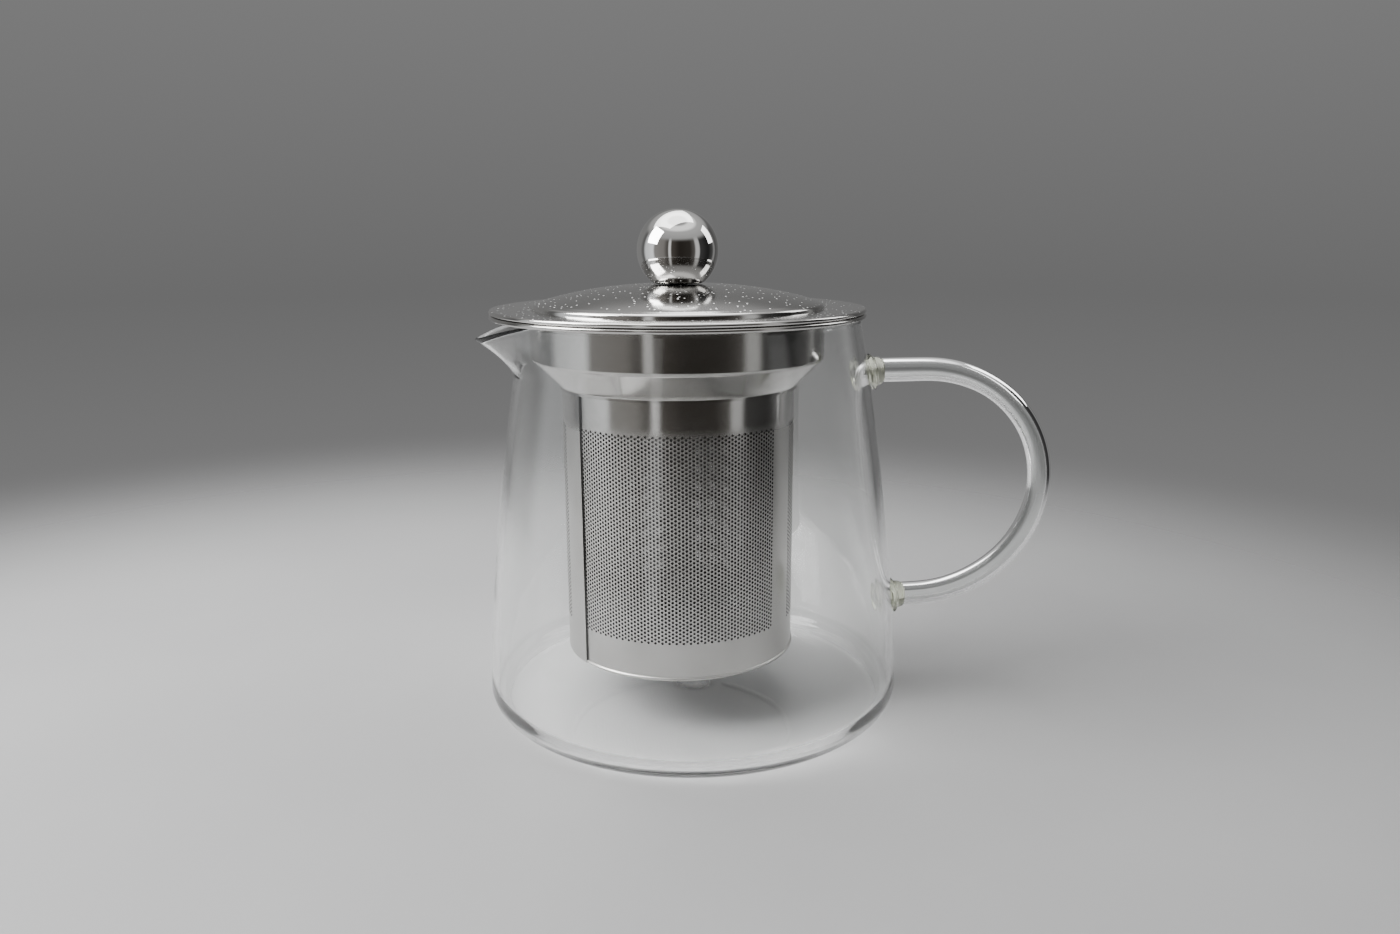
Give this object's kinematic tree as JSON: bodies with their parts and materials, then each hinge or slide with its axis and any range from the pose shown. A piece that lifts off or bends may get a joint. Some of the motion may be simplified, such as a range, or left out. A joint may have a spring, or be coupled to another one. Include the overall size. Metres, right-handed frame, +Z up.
{
  "type": "teapot with tea infuser",
  "caption": "Conical glass jug with a pulled spout and rod handle, a lift-out steel infuser basket, and a domed steel lid with a ball knob.",
  "frame": {"origin": "the jug's own axis, on the face it stands on", "axes": "+Z up the jug's axis, +X towards the handle, -X towards the spout, +Y across"},
  "size_m": [0.1547, 0.109, 0.1287],
  "materials": {
    "jug_glass": "gloss",
    "handle_glass": "gloss",
    "polished_steel": "polished",
    "satin_steel": "satin",
    "mirror_steel": "polished"
  },
  "bodies": {
    "jug": {"glass_body": "jug_glass", "handle_rod": "handle_glass", "handle_weld_upper": "handle_glass", "handle_weld_lower": "handle_glass"},
    "infuser": {"infuser_collar": "polished_steel", "basket_wall": "satin_steel", "basket_base": "satin_steel"},
    "lid": {"lid_shell": "polished_steel", "lid_skirt": "satin_steel", "knob_ball": "mirror_steel", "knob_insert": "satin_steel", "knob_washer": "satin_steel", "knob_screw": "satin_steel"}
  },
  "joints": [
    {"name": "infuser_lift", "type": "slide", "parent": "jug", "child": "infuser", "axis": [0, 0, 1], "range_m": [0, 0.1]},
    {"name": "lid_lift", "type": "slide", "parent": "infuser", "child": "lid", "axis": [0, 0, 1], "range_m": [0, 0.05]}
  ]
}
